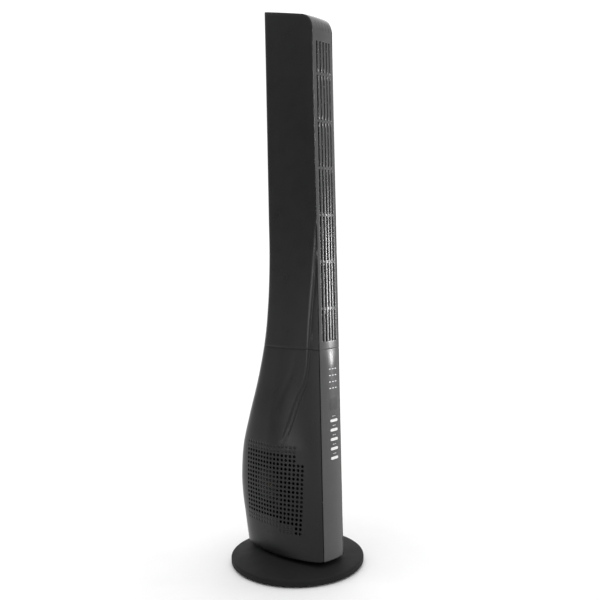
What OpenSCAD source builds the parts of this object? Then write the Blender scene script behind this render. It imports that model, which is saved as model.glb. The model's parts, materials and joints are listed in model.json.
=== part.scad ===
// Tower fan: a round base, a swinging tower with a blower in its foot, and a tall outlet grille.
// Millimetres. +Z is up, the fan blows towards -Y, and the origin is the base's centre on the floor.

/* [Base] */
// Diameter of the round base
base_d = 292; // [288:1:300]
// Height of the rubber feet under the base
foot_h = 3; // [2.5:0.5:4]
// Number of rubber feet
foot_count = 10; // [6:2:12]

/* [Body] */
// Height of the top back corner above the floor
body_top = 1212; // [1205:1:1225]
// Underside of the swinging tower
body_bottom = 34; // [34:0.5:36]
// Height of the seam between the lower and the upper casing
seam_z = 477; // [470:1:484]
// Half width of the front strip between the two corner edges
front_half = 31; // [31:0.5:33]
// Distance of the corner edges in front of the base's centre
front_y = 110; // [108:1:112]
// Wall thickness of the plastic casings
wall = 2.2; // [2:0.1:2.4]
// Slope of the top, rising to the back
top_slope = 16; // [14:1:18]
// Radius that rounds the front over into the top
top_round = 38; // [34:1:42]

/* [Outlet grille] */
// Rise of the grille's arched front
grille_sag = 2.6; // [2:0.2:4]
// Lowest edge of the slots
slot_bottom = 494; // [490:1:498]
// Highest edge of the slots
slot_top = 1118; // [1110:1:1120]
// Number of slots side by side
slot_columns = 5; // [3:2:5]
// Width of one slot
slot_w = 4; // [3:0.5:5]
// Number of cross ribs
rib_count = 6; // [4:1:8]

/* [Controls] */
// Rise of the control fascia's arched front
fascia_sag = 4.5; // [4:0.5:5]
// Height of the highest button
button_top_z = 326; // [320:1:330]
// Distance between two buttons
button_pitch = 19.75; // [18:0.25:20]
// Width of a button
button_w = 23; // [20:1:24]
// Height of a button
button_h = 6; // [5:0.5:7]
// How far a button travels
button_travel = 0.6; // [0.5:0.1:0.6]

/* [Blower] */
// Radius of the blower wheel
wheel_r = 60; // [56:1:60]
// Number of blades on the wheel
blade_count = 30; // [24:1:32]
// Height of the blower's shaft
blower_z = 178; // [175:1:182]
// Distance of the blower's shaft behind the base's centre
blower_y = 22; // [20:1:24]

/* [Swing drive] */
// Teeth on a full circle of the fixed gear
gear_teeth = 72; // [72:8:72]
// Teeth on the motor's pinion
pinion_teeth = 16; // [16:1:16]
// Tooth module of both
gear_module = 1; // [1:1:1]

/* [Fits] */
// Radial clearance of a shaft or pin that turns in its bore
running = 0.05; // [0.02:0.01:0.09]
// Gap between pieces that are assembled without a fit
gap = 0.3; // [0.2:0.1:0.4]

/* [Hidden] */
$fn = 64;

dark = [0.17, 0.17, 0.18];
grey = [0.42, 0.42, 0.43];
pale = [0.86, 0.86, 0.84];
steel = [0.66, 0.67, 0.69];
amber = [0.75, 0.5, 0.25];
board_green = [0.1, 0.35, 0.2];

base_r = base_d / 2;
disc_top = 27;         // flat middle of the domed base
hub_r = 12;            // pivot post
hub_top = 52;          // top of the pivot bush
gear_r = gear_teeth * gear_module / 2;
pinion_r = pinion_teeth * gear_module / 2;
drive_y = gear_r + pinion_r;
swing_teeth_span = 62; // half the arc of the fixed gear that carries teeth
strip_half = front_half - wall - gap / 2; // half width of grille and fascia
air_half = 27;         // outside half width of the air housing
air_wall = 2;
pcb_y = -103;          // front face of the control board
button_x = 6;
indicator_x = [-3.5, 5.5, 14.5];
indicator_z = [435, 421.5, 408, 394.5];
window_z = [348, 373];
handle_z = 1038;
handle_size = [50, 22, 56];

// Stations of the body: height, half width, y of the widest point, y of the back,
// squareness of the rear, and how late the sides leave the front strip.
STATIONS = [
    [34, 69, 5, 127, 2.7, 0.6],
    [94, 70.5, 15, 130, 3.1, 0.95],
    [139, 71, 22, 133.5, 3.4, 1.25],
    [183, 71, 26, 133, 3.6, 1.45],
    [249, 68, 26, 127, 3.6, 1.9],
    [315, 60.5, 20, 110, 3.6, 2.2],
    [403, 50, 10, 82, 3.8, 2.2],
    [491, 43.5, 2, 58, 4.3, 1.9],
    [579, 39.5, -4, 45, 5, 1.7],
    [667, 37.5, -6, 38, 6, 1.5],
    [755, 37, -6, 37.5, 6, 1.5],
    [1225, 37, -6, 35, 6, 1.5]
];
LOWER_LEVELS = concat([body_bottom], [for (z = [54:20:454]) z], [seam_z - gap]);
UPPER_LEVELS = concat([seam_z], [for (z = [500:30:680]) z], [755, 1225]);
SIDE_STEPS = 9;
REAR_STEPS = 9;

// ---- The body's smooth section -------------------------------------------------------------

function row_at(z, k = 0) =
    k >= len(STATIONS) - 2 || z < STATIONS[k + 1][0] ? k : row_at(z, k + 1);

function row_slope(k, i) =
    let (a = max(k - 1, 0), b = min(k + 1, len(STATIONS) - 1))
    (STATIONS[b][i] - STATIONS[a][i]) / (STATIONS[b][0] - STATIONS[a][0]);

// Value i of the stations at height z, on a smooth cubic through the rows
function station(z, i) =
    let (
        k = row_at(z),
        h = STATIONS[k + 1][0] - STATIONS[k][0],
        t = (z - STATIONS[k][0]) / h
    )
    STATIONS[k][i] * (2 * t ^ 3 - 3 * t ^ 2 + 1)
    + STATIONS[k + 1][i] * (3 * t ^ 2 - 2 * t ^ 3)
    + h * row_slope(k, i) * (t ^ 3 - 2 * t ^ 2 + t)
    + h * row_slope(k + 1, i) * (t ^ 3 - t ^ 2);

// Half section at height z, moved inwards by inset: from the front corner round to the back
function half_section(z, inset = 0) =
    let (
        wide = station(z, 1) - inset,
        y_wide = station(z, 2),
        rear = station(z, 3) - inset - y_wide,
        square_n = station(z, 4),
        neck = station(z, 5),
        front = front_half - inset
    )
    concat(
        [for (i = [0:SIDE_STEPS - 1])
            let (u = i / SIDE_STEPS)
            [front + (wide - front) * sin(90 * u) ^ neck, -front_y + (y_wide + front_y) * u]],
        [for (i = [0:REAR_STEPS])
            let (a = 90 * i / REAR_STEPS)
            [i == REAR_STEPS ? 0 : wide * cos(a) ^ (2 / square_n),
             y_wide + rear * sin(a) ^ (2 / square_n)]]
    );

function flipped(points) = [for (p = points) [-p[0], p[1]]];
function backwards(points) = [for (i = [len(points) - 1:-1:0]) points[i]];
function tail(points) = [for (i = [1:len(points) - 1]) points[i]];

// Whole section, from the right front corner round the back to the left front corner
function full_section(z, inset = 0) =
    concat(half_section(z, inset), tail(backwards(flipped(half_section(z, inset)))));

// End of a loft as a strip of triangles between the two halves of its ring, so that a hollow or
// necked section is filled without crossing itself
function strip(n) = [for (i = [0:ceil(n / 2) - 2])
    each [[i, i + 1, n - 1 - i], if (n - 2 - i > i + 1) [i + 1, n - 2 - i, n - 1 - i]]];

// Closed skin through equally long point rings, one ring for each level
module loft(rings, levels) {
    n = len(rings[0]);
    last = (len(levels) - 1) * n;
    points = [for (k = [0:len(levels) - 1]) for (p = rings[k]) [p[0], p[1], levels[k]]];
    bottom = strip(n);
    top = [for (f = strip(n)) [last + f[2], last + f[1], last + f[0]]];
    sides = [for (k = [0:len(levels) - 2]) for (i = [0:n - 1])
        let (j = (i + 1) % n)
        each [[k * n + i, (k + 1) * n + i, k * n + j],
              [k * n + j, (k + 1) * n + i, (k + 1) * n + j]]];
    polyhedron(points, concat(bottom, top, sides), convexity = 8);
}

// ---- Shared small shapes -------------------------------------------------------------------

module along_x() rotate([90, 0, 90]) children();
module at_blower() translate([0, blower_y, blower_z]) along_x() children();
module ring(outer, inner, h) difference() {
    cylinder(r = outer, h = h);
    translate([0, 0, -1]) cylinder(r = inner, h = h + 2);
}
module block(low, high) translate(low) cube(high - low);
module at_circle(count, radius, start = 0)
    for (i = [0:count - 1]) rotate(start + i * 360 / count) translate([radius, 0, 0]) children();
// Pan-head screw, pointing up from the underside of its head
module screw(r, length, head_r, head_h) {
    cylinder(r = r, h = length, $fn = 24);
    translate([0, 0, -head_h]) cylinder(r = head_r, h = head_h, $fn = 32);
}

// ---- Base ----------------------------------------------------------------------------------

rim_in = base_r - 4.5;
boss_ring_r = 100;
foot_ring_r = 128;
gland_r = 4.4;
gland_bore_r = 3.2;
gland_z = foot_h + 6.8;
gland_depth = 8.5;

module base_disc() color(dark) difference() {
    union() {
        rotate_extrude($fn = 128) polygon([
            [hub_r + gap, disc_top], [46, disc_top], [80, 25.4], [110, 22.4], [130, 19.4],
            [141, 17.2], [144.5, 15.8], [base_r, 13], [base_r, 6], [base_r - 1, 4],
            [base_r - 3, foot_h + 0.2], [rim_in, foot_h + 0.2], [rim_in, 12.5], [128, 16.4],
            [108, 19.4], [78, 22.4], [46, 24],
            [hub_r + gap, 24]
        ]);
        at_circle(5, boss_ring_r, 90) translate([0, 0, foot_h + 2.2]) cylinder(r = 4, h = 17);
    }
    at_circle(5, boss_ring_r, 90) translate([0, 0, foot_h]) cylinder(r = 1.4, h = 13, $fn = 24);
    at_circle(4, 19, 45) translate([0, 0, 23]) cylinder(r = 1.7, h = 3.6, $fn = 24);
    translate([0, base_r + 1, gland_z]) rotate([90, 0, 0]) cylinder(r = gland_r + gap / 3, h = 12);
}

module base_plate() color(dark) difference() {
    translate([0, 0, foot_h]) cylinder(r = rim_in - gap, h = 2, $fn = 128);
    at_circle(5, boss_ring_r, 90) translate([0, 0, 1]) cylinder(r = 1.8, h = 8, $fn = 24);
    at_circle(foot_count, foot_ring_r, -90) translate([0, 0, 1]) cylinder(r = 4 + gap / 3, h = 8);
}

module ballast_ring() color([0.3, 0.3, 0.31])
    translate([0, 0, foot_h + 2.2]) ring(90, 42, 9);

module rubber_feet() color([0.06, 0.06, 0.06])
    at_circle(foot_count, foot_ring_r, -90) {
        cylinder(r = 7.5, h = foot_h - 0.05);
        cylinder(r = 4, h = foot_h + 3.5);
    }

module base_screws() color(steel)
    at_circle(5, boss_ring_r, 90) translate([0, 0, foot_h - 0.1]) screw(1.3, 12, 3.2, 1.6);

module pivot_post() color(steel) difference() {
    union() {
        translate([0, 0, 20]) cylinder(r = hub_r, h = 38);
        translate([0, 0, 20]) cylinder(r = 26, h = 3.9);
    }
    translate([0, 0, 10]) cylinder(r = 8, h = 60);
    translate([0, 0, hub_top + 0.2]) ring(hub_r + 2, hub_r - 1, 2.2);
    at_circle(4, 19, 45) translate([0, 0, 19]) cylinder(r = 1.8, h = 8, $fn = 24);
}

module post_screws() color(steel)
    at_circle(4, 19, 45) translate([0, 0, 19.9]) screw(1.5, 6.5, 3.2, 1.8);

module thrust_washer() color(pale)
    translate([0, 0, disc_top]) ring(22, hub_r + running, 1.5);

module retaining_clip() color(steel) difference() {
    translate([0, 0, hub_top + 0.4]) ring(16.5, hub_r - 1 + running, 1.8);
    block([-5, -20, hub_top], [5, 0, hub_top + 4]);
}

module cord_gland() color([0.08, 0.08, 0.08])
    translate([0, base_r - gap, gland_z]) rotate([90, 0, 0]) ring(gland_r, gland_bore_r, gland_depth);

// ---- Swing drive ---------------------------------------------------------------------------

// Polar angle of an involute of base radius rb at radius r, in degrees
function involute_angle(rb, r) =
    let (pressure = acos(min(1, rb / r)))
    tan(pressure) * 180 / PI - pressure;

// Outline of one involute tooth about the +X axis, from its foot on one side to the other
function tooth(teeth, backlash) =
    let (
        r = teeth * gear_module / 2,
        rb = r * cos(20),
        root = r - 1.25 * gear_module,
        start = max(rb, root),
        tip = r + 0.95 * gear_module,
        half_tooth = 90 / teeth - backlash / r * 90 / PI + involute_angle(rb, r),
        flank = [for (s = [0:3])
            let (q = start + (tip - start) * s / 3)
            [q, half_tooth - involute_angle(rb, q)]]
    )
    concat([[root, half_tooth]], flank);

function polar(r, a) = [r * cos(a), r * sin(a)];

function gear_outline(teeth, backlash, span) =
    let (side = tooth(teeth, backlash), pitch = 360 / teeth)
    [for (i = [0:teeth - 1])
        let (a = i * pitch, off = a > 180 ? a - 360 : a)
        if (abs(off) <= span)
            each concat([for (p = side) polar(p[0], a - p[1])],
                        [for (p = backwards(side)) polar(p[0], a + p[1])])
        else each [polar(side[0][0], a - pitch / 4), polar(side[0][0], a + pitch / 4)]];

module swing_gear() color(pale) difference() {
    translate([0, 0, disc_top]) rotate(90)
        linear_extrude(5) polygon(gear_outline(gear_teeth, 0.06, swing_teeth_span));
    translate([0, 0, disc_top - 1]) cylinder(r = 24, h = 8);
}

module swing_pinion() color(pale) {
    translate([0, drive_y, disc_top + 0.6]) rotate(180 / pinion_teeth)
        linear_extrude(4.6) polygon(gear_outline(pinion_teeth, 0.06, 180));
    translate([0, drive_y, disc_top + 4]) cylinder(r = 2.5, h = 17);
}

module swing_motor() color(steel) difference() {
    union() {
        translate([0, drive_y, 37.2]) cylinder(r = 23, h = 19);
        translate([0, drive_y, 37.2]) linear_extrude(1.2) hull() {
            translate([-27, 0]) circle(r = 4, $fn = 32);
            translate([27, 0]) circle(r = 4, $fn = 32);
        }
    }
    translate([0, drive_y, 30]) cylinder(r = 2.5 + running, h = 19);
    for (x = [-27, 27]) translate([x, drive_y, 30]) cylinder(r = 1.8, h = 20, $fn = 24);
}

// ---- Tower floor ---------------------------------------------------------------------------

floor_screw_spots = [[-50, -20], [50, -20], [-45, 70], [45, 70]];

module tower_floor() color(dark) difference() {
    union() {
        translate([0, 0, body_bottom]) linear_extrude(3) difference() {
            polygon(full_section(body_bottom + 1, wall + gap));
            translate([-60, -120]) square([120, 16]);
        }
        translate([0, 0, body_bottom]) cylinder(r = 19, h = hub_top - body_bottom - 0.4);
        for (p = floor_screw_spots) translate([p[0], p[1], body_bottom]) cylinder(r = 3.6, h = 12);
    }
    translate([0, 0, 30]) cylinder(r = 15 + running, h = 40);
    translate([0, drive_y, 30]) cylinder(r = pinion_r + 2.5, h = 12);
    for (x = [-27, 27]) translate([x, drive_y, 30]) cylinder(r = 1.4, h = 12, $fn = 24);
    for (p = floor_screw_spots) translate([p[0], p[1], 30]) cylinder(r = 1.6, h = 14, $fn = 24);
}

module floor_screws() color(steel) {
    for (x = [-27, 27]) translate([x, drive_y, 38.5]) rotate([180, 0, 0]) screw(1.3, 4.4, 3, 1.6);
    for (p = floor_screw_spots) translate([p[0], p[1], body_bottom - 0.1]) screw(1.5, 9, 3, 1.4);
}

module pivot_bush() color(pale) difference() {
    union() {
        translate([0, 0, disc_top + 1.6]) cylinder(r = 21, h = body_bottom - disc_top - 1.7);
        translate([0, 0, disc_top + 1.6]) cylinder(r = 15, h = hub_top - disc_top - 1.6);
    }
    translate([0, 0, 20]) cylinder(r = hub_r + running, h = 60);
}

// ---- Casings -------------------------------------------------------------------------------

// One half of the lower casing as a lofted wall, on the +X side
module half_wall(levels)
    loft([for (z = levels)
            concat([for (p = half_section(z)) [max(p[0], 0.15), p[1]]],
                   [for (p = backwards(half_section(z, wall))) [max(p[0], 0.15), p[1]]])],
         levels);

intake_rows = 18;
intake_columns = 17;
intake_pitch = [9, 9.35];   // along Y and along Z
intake_first = [-65, 88.5]; // centre of the lowest hole in the front column
intake_hole = 6;

// Lowest and highest open row of a column: the foot steps up and the two front columns end early
function intake_low(c) = c < 2 ? 0 : c < 6 ? 2 : 3;
function intake_high(c) = c < 2 ? intake_rows - 3 : intake_rows - 1;

// Air openings in the side, cut straight through the wall on the +X side
module intake_cuts()
    for (c = [0:intake_columns - 1]) for (r = [intake_low(c):intake_high(c)])
        translate([20, intake_first[0] + c * intake_pitch[0] - intake_hole / 2,
                   intake_first[1] + r * intake_pitch[1] - intake_hole / 2])
            cube([60, intake_hole, intake_hole]);

module lower_casing() difference() {
    half_wall(LOWER_LEVELS);
    intake_cuts();
    for (p = lower_screws) screw_hole(p[0], p[1]);
}
module lower_casing_right() color(dark) lower_casing();
module lower_casing_left() color(dark) mirror([1, 0, 0]) lower_casing();

back_cut_y = 60; // anywhere behind the upper casing

// The top seen from the side: the rounded front and the slope, moved inwards by inset
function top_curve(inset) =
    let (
        r = top_round - inset,
        round_y = -front_y + top_round,
        round_z = body_top - (36 - round_y) * tan(top_slope) - top_round / cos(top_slope)
    )
    concat(
        [for (i = [0:8])
            let (a = 180 - (90 - top_slope) * i / 8)
            [round_y + r * cos(a), round_z + r * sin(a)]],
        [[back_cut_y, round_z + r / cos(top_slope) + (back_cut_y - round_y) * tan(top_slope)]]
    );

// Side profile of the upper body in the YZ plane
function upper_profile(inset = 0) = concat(
    [[-front_y + inset, seam_z - 10]], top_curve(inset), [[back_cut_y, seam_z - 10]]
);

module upper_wall()
    loft([for (z = UPPER_LEVELS) concat(full_section(z), backwards(full_section(z, wall)))], UPPER_LEVELS);

// Everything above the sloping top and its rounded front
module above_top() translate([-60, 0, 0]) along_x() linear_extrude(120) polygon(concat(
    [[-200, 900], [-front_y, 900]], top_curve(0), [[back_cut_y, 1400], [-200, 1400]]
));

top_cover_y = -86; // where the grille's curl ends and the top cover begins

module upper_casing() color(dark) difference() {
    union() {
        upper_wall();
        difference() {
            loft([for (z = [1120, 1225]) full_section(z, wall / 2)], [1120, 1225]);
            translate([-70, 0, 0]) along_x() linear_extrude(140) polygon(upper_profile(wall));
            block([-60, -120, 1100], [60, top_cover_y + gap, 1300]);
        }
    }
    above_top();
    for (p = upper_screws) screw_hole(p[0], p[1]);
    translate([-handle_size[0] / 2 - 2.2, 20, handle_z - handle_size[2] / 2 - 2.2])
        cube([handle_size[0] + 4.4, 30, handle_size[2] + 4.4]);
}

module handle_cup() color(dark) {
    w = handle_size[0] / 2;
    h = handle_size[2] / 2;
    back = 34.5;
    front = back - handle_size[1];
    difference() {
        block([-w - 2, front - 2, handle_z - h - 2], [w + 2, back, handle_z + h + 2]);
        block([-w, front, handle_z - h], [w, back + 5, handle_z + h]);
    }
}

// Rear screws of the lower and of the upper casing: x and z
lower_screws = [[12, 66], [12, 170]];
upper_screws = [[0, 700], [0, 930], [0, 1150]];
function rear_wall_y(z) = station(z, 3) - wall;

// Screw hole with a recess for the head, from behind
module screw_hole(x, z) {
    translate([x, rear_wall_y(z) + 0.6, z]) rotate([-90, 0, 0]) cylinder(r = 3.2, h = 20, $fn = 32);
    translate([x, rear_wall_y(z) - 5, z]) rotate([-90, 0, 0]) cylinder(r = 1.8, h = 20, $fn = 24);
}

module casing_screws() color(steel) {
    spots = concat(lower_screws, flipped(lower_screws), upper_screws);
    for (p = spots) translate([p[0], rear_wall_y(p[1]) + 0.7, p[1]]) rotate([90, 0, 0]) screw(1.5, 8, 2.9, 1);
}

// ---- Front strip ---------------------------------------------------------------------------

function arch_r(sag) = (front_half ^ 2 + sag ^ 2) / (2 * sag);

// Plan of the strip: the part of an arched disc in front of the casing walls
module arch_plan(sag, inset, depth) intersection() {
    translate([0, arch_r(sag) - front_y - sag]) circle(r = arch_r(sag) - inset, $fn = 256);
    translate([-strip_half, -front_y - sag - 2]) square([strip_half * 2, depth]);
}

module grille_solid(inset) intersection() {
    translate([0, 0, seam_z - 5]) linear_extrude(900) arch_plan(grille_sag, inset, 60);
    translate([-60, 0, 0]) along_x() linear_extrude(120)
        polygon([for (p = upper_profile(inset)) [p[0] - grille_sag - gap, p[1]]]);
}

rib_pitch = 97.5;
rib_first = 562.5;
rib_h = 5;

module front_grille() color(grey) difference() {
    intersection() {
        grille_solid(0);
        block([-60, -130, seam_z + gap], [60, top_cover_y, 1300]);
    }
    grille_solid(3);
    slot_pitch = 9.1;
    edges = concat([slot_bottom], [for (i = [0:rib_count - 1]) rib_first + i * rib_pitch], [slot_top]);
    for (c = [0:slot_columns - 1]) {
        x = (c - (slot_columns - 1) / 2) * slot_pitch - slot_w / 2;
        for (i = [0:rib_count]) {
            low = edges[i] + (i == 0 ? 0 : rib_h / 2);
            high = edges[i + 1] - (i == rib_count ? 0 : rib_h / 2);
            translate([x, -130, low]) cube([slot_w, 60, high - low]);
        }
        translate([x, -130, 1136]) cube([slot_w, 60, 26]);
    }
}

module louvre_vanes() color(dark) {
    for (z = [510:32.5:1110]) block([-24.6, -101, z], [24.6, -87, z + 1.4]);
    for (s = [-1, 1]) translate([s * 23.9 - 0.7, -101, 494]) cube([1.4, 3, 622]);
}

module duct_seal() color([0.1, 0.1, 0.1]) difference() {
    block([-27, -107, 488], [27, -105.1, 1124]);
    block([-25, -110, 490], [25, -100, 1120]);
}

module fascia_solid(inset, z0, z1)
    translate([0, 0, z0]) linear_extrude(z1 - z0) arch_plan(fascia_sag, inset, 12);

// Flat bar with round ends in the XZ plane, between two y values
module bar(x, z, w, h, y0, y1) translate([x, y1, z]) rotate([90, 0, 0]) linear_extrude(y1 - y0) {
    square([w - h, h], center = true);
    translate([(w - h) / 2, 0]) circle(d = h, $fn = 48);
    translate([-(w - h) / 2, 0]) circle(d = h, $fn = 48);
}
function button_z(i) = button_top_z - i * button_pitch;

module control_fascia() color(grey) difference() {
    fascia_solid(0, body_bottom, seam_z);
    fascia_solid(2.6, body_bottom + 2, seam_z - 2);
    for (i = [0:4]) bar(button_x, button_z(i), button_w + 2 * gap, button_h + 2 * gap, -130, -100);
    for (x = indicator_x) for (z = indicator_z) bar(x, z, 5.2, 2.2, -130, -100);
    block([button_x - 13.1, -130, window_z[0] - 0.1], [button_x + 11.1, -100, window_z[1] + 0.1]);
}

// Cap that stands proud of the fascia, with a flange behind it and a stem to its switch
module button(i) color(pale) {
    z = button_z(i);
    centre_y = arch_r(fascia_sag) - front_y - fascia_sag;
    intersection() {
        bar(button_x, z, button_w, button_h, -125, -109);
        translate([0, centre_y, z - 10]) cylinder(r = arch_r(fascia_sag) + 0.9, h = 20, $fn = 256);
    }
    bar(button_x, z, button_w + 1.6, button_h + 1.6, -109.6, -108.4);
    translate([button_x, -106.85, z]) rotate([90, 0, 0]) cylinder(r = 2, h = 2.4, $fn = 32);
}
module power_button() button(0);
module speed_button() button(1);
module swing_button() button(2);
module timer_button() button(3);
module mode_button() button(4);

module indicator_lenses() color([0.9, 0.93, 0.95]) intersection() {
    fascia_solid(0, 380, 450);
    for (x = indicator_x) for (z = indicator_z) bar(x, z, 5, 2, -130, -108);
}

module remote_window() color([0.1, 0.03, 0.05]) intersection() {
    difference() {
        fascia_solid(0, 340, 380);
        fascia_solid(2.4, 335, 385);
    }
    block([button_x - 13, -130, window_z[0]], [button_x + 11, -100, window_z[1]]);
}

board_holes = [[-20, 236], [20, 236], [-20, 446], [20, 446]];

module control_board() color(board_green) difference() {
    block([-24, pcb_y, 228], [24, pcb_y + 1.6, 454]);
    for (p = board_holes)
        translate([p[0], pcb_y + 3, p[1]]) rotate([90, 0, 0]) cylinder(r = 1.8, h = 6, $fn = 24);
}

module button_switches() color([0.1, 0.1, 0.1])
    for (i = [0:4]) {
        block([button_x - 3, pcb_y - 2.2, button_z(i) - 3], [button_x + 3, pcb_y, button_z(i) + 3]);
        translate([button_x, pcb_y - 2.2, button_z(i)])
            rotate([90, 0, 0]) cylinder(r = 1.7, h = 0.9, $fn = 32);
    }

module indicator_leds() color([0.95, 0.95, 0.8])
    for (x = indicator_x) for (z = indicator_z)
        block([x - 1.6, pcb_y - 1.4, z - 0.8], [x + 1.6, pcb_y, z + 0.8]);

module remote_receiver() color([0.08, 0.08, 0.1]) {
    z = (window_z[0] + window_z[1]) / 2;
    block([button_x - 4, pcb_y - 3.4, z - 3], [button_x + 2, pcb_y, z + 3]);
    translate([button_x - 1, pcb_y - 3.4, z]) sphere(r = 2.3, $fn = 32);
}

module board_screws() color(steel)
    for (p = board_holes) translate([p[0], pcb_y + 1.7, p[1]]) rotate([90, 0, 0]) screw(1.4, 5.2, 3, 1.6);

// ---- Air path ------------------------------------------------------------------------------

scroll_r = 66;
scroll_growth = 24;
inlet_r = 50;

// Scroll and riser in the YZ plane, moved outwards by out
function air_profile(out) = concat(
    [for (a = [60:-10:-180])
        let (r = scroll_r + scroll_growth * (60 - a) / 240 + out)
        [blower_y + r * cos(a), blower_z + r * sin(a)]],
    [[-72 - out, 240], [-82 - out, 330], [-82 - out, 466], [-103 - out, 488], [-103 - out, 1120 + out],
     [-70, 1120 + out], [22 + out, 700], [22 + out, 470], [32 + out, 400], [48 + out, 300]]
);

module air_half_shell() difference() {
    along_x() linear_extrude(air_half) polygon(air_profile(air_wall));
    translate([-1, 0, 0]) along_x() linear_extrude(air_half - air_wall + 1) polygon(air_profile(0));
    at_blower() cylinder(r = inlet_r, h = air_half + 5);
    block([-1, -110, 490], [air_half - air_wall, -100, 1120]);
}
module air_housing_right() color([0.24, 0.24, 0.25]) translate([0.05, 0, 0]) air_half_shell();
module air_housing_left() color([0.24, 0.24, 0.25])
    mirror([1, 0, 0]) translate([0.05, 0, 0]) air_half_shell();

module inlet_rings() color([0.2, 0.2, 0.21])
    for (s = [0, 1]) mirror([s, 0, 0])
        at_blower() translate([0, 0, air_half + 0.15]) difference() {
            cylinder(r1 = 55, r2 = 57, h = 4);
            translate([0, 0, -1]) cylinder(r = inlet_r + 1, h = 7);
        }

module blower_stand() color(steel) difference() {
    union() {
        for (y = [-38, 78]) block([-22, y, 37.1], [22, y + 3, 125]);
        for (y = [-50, 66]) block([-22, y, 37.1], [22, y + 27, 39]);
    }
    translate([-40, 0, 0]) along_x() linear_extrude(80) polygon(air_profile(air_wall + 0.1));
    translate([0, drive_y, 30]) cylinder(r = 33, h = 30);
}

// ---- Blower motor and wheel ----------------------------------------------------------------

can_r = 36;
can_x = [-62, -8];
shaft_r = 4;
bush_r = 8;

module motor_can() color(steel) at_blower() difference() {
    translate([0, 0, can_x[0]]) cylinder(r = can_r, h = can_x[1] - can_x[0]);
    translate([0, 0, can_x[0] + 10]) cylinder(r = can_r - 2, h = can_x[1] - can_x[0] - 20);
    translate([0, 0, can_x[0] - 1]) cylinder(r = bush_r + 0.02, h = 80);
}

module motor_bushes() color(amber) at_blower()
    for (x = [can_x[0] + 1, can_x[1] - 10]) translate([0, 0, x]) ring(bush_r, shaft_r + running, 9);

module stator_core() color([0.35, 0.35, 0.36]) at_blower()
    translate([0, 0, -49]) ring(can_r - 2.02, 22, 28);

module stator_coils() color(amber) at_blower()
    for (x = [-51.9, -20.9]) translate([0, 0, x]) ring(32, 24, 2.8);

module rotor_core() color([0.5, 0.5, 0.52]) at_blower()
    translate([0, 0, -48]) ring(21.4, shaft_r + 0.02, 26);

module motor_shaft() color(steel) at_blower()
    translate([0, 0, can_x[0] - 1]) cylinder(r = shaft_r, h = 79);

module motor_bracket() color(steel) at_blower() {
    translate([0, 0, -44]) ring(can_r + 2.6, can_r + 0.05, 9);
    for (a = [30, 150, 270]) rotate(a) {
        translate([can_r + 1.5, -5, -38]) cube([24, 10, 2.4]);
        translate([can_r + 23, -5, -38]) cube([2.5, 10, 10.8]);
        translate([can_r + 23, -5, -29.4]) cube([9, 10, 2.2]);
    }
}

// Forward-curved blade: a slice of a thin circular shell
module blade() linear_extrude(42) polygon(concat(
    [for (a = [0:15:60]) [wheel_r - 9.6 + 10 * sin(a) * 0.98, 8 * (1 - cos(a))]],
    [for (a = [60:-15:0]) [wheel_r - 9.6 + 10 * sin(a) * 0.98 - 0.35, 8 * (1 - cos(a)) + 0.9]]
));

module blower_wheel() color([0.2, 0.2, 0.21]) at_blower() {
    for (i = [0:blade_count - 1]) rotate(i * 360 / blade_count) translate([0, 0, -21]) blade();
    for (x = [-22, 20.5]) translate([0, 0, x]) ring(wheel_r, wheel_r - 4, 1.5);
    translate([0, 0, 6]) ring(wheel_r, shaft_r + 0.02, 1.6);
    translate([0, 0, 1]) ring(9, shaft_r + 0.02, 12);
}

module wheel_clip() color(steel) at_blower() translate([0, 0, 13.2]) ring(6.5, shaft_r + 0.02, 1);

// ---- Electrics -----------------------------------------------------------------------------

module power_board() color(board_green) block([-30, 104, 112], [30, 105.6, 196]);

module relay_blocks() color([0.1, 0.2, 0.45])
    for (p = [[-22, 126], [-22, 160], [4, 126]]) block([p[0], 105.7, p[1]], [p[0] + 19, 120.5, p[1] + 15]);

module run_capacitor() color([0.85, 0.85, 0.8]) block([-20, 84, 40], [20, 100, 66]);

base_disc();
base_plate();
ballast_ring();
rubber_feet();
base_screws();
pivot_post();
post_screws();
thrust_washer();
swing_gear();
retaining_clip();
cord_gland();
tower_floor();
floor_screws();
pivot_bush();
swing_motor();
swing_pinion();
lower_casing_left();
lower_casing_right();
upper_casing();
casing_screws();
handle_cup();
front_grille();
louvre_vanes();
duct_seal();
control_fascia();
power_button();
speed_button();
swing_button();
timer_button();
mode_button();
indicator_lenses();
remote_window();
control_board();
button_switches();
indicator_leds();
remote_receiver();
board_screws();
air_housing_left();
air_housing_right();
inlet_rings();
blower_stand();
motor_bracket();
motor_can();
motor_bushes();
stator_core();
stator_coils();
rotor_core();
motor_shaft();
blower_wheel();
wheel_clip();
power_board();
run_capacitor();
relay_blocks();
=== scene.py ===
"""Looks of the tower fan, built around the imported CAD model. Metres, +Z up, the fan blows towards -Y."""

import json
import math

import bmesh
import bpy
from mathutils import Matrix, Vector


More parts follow.
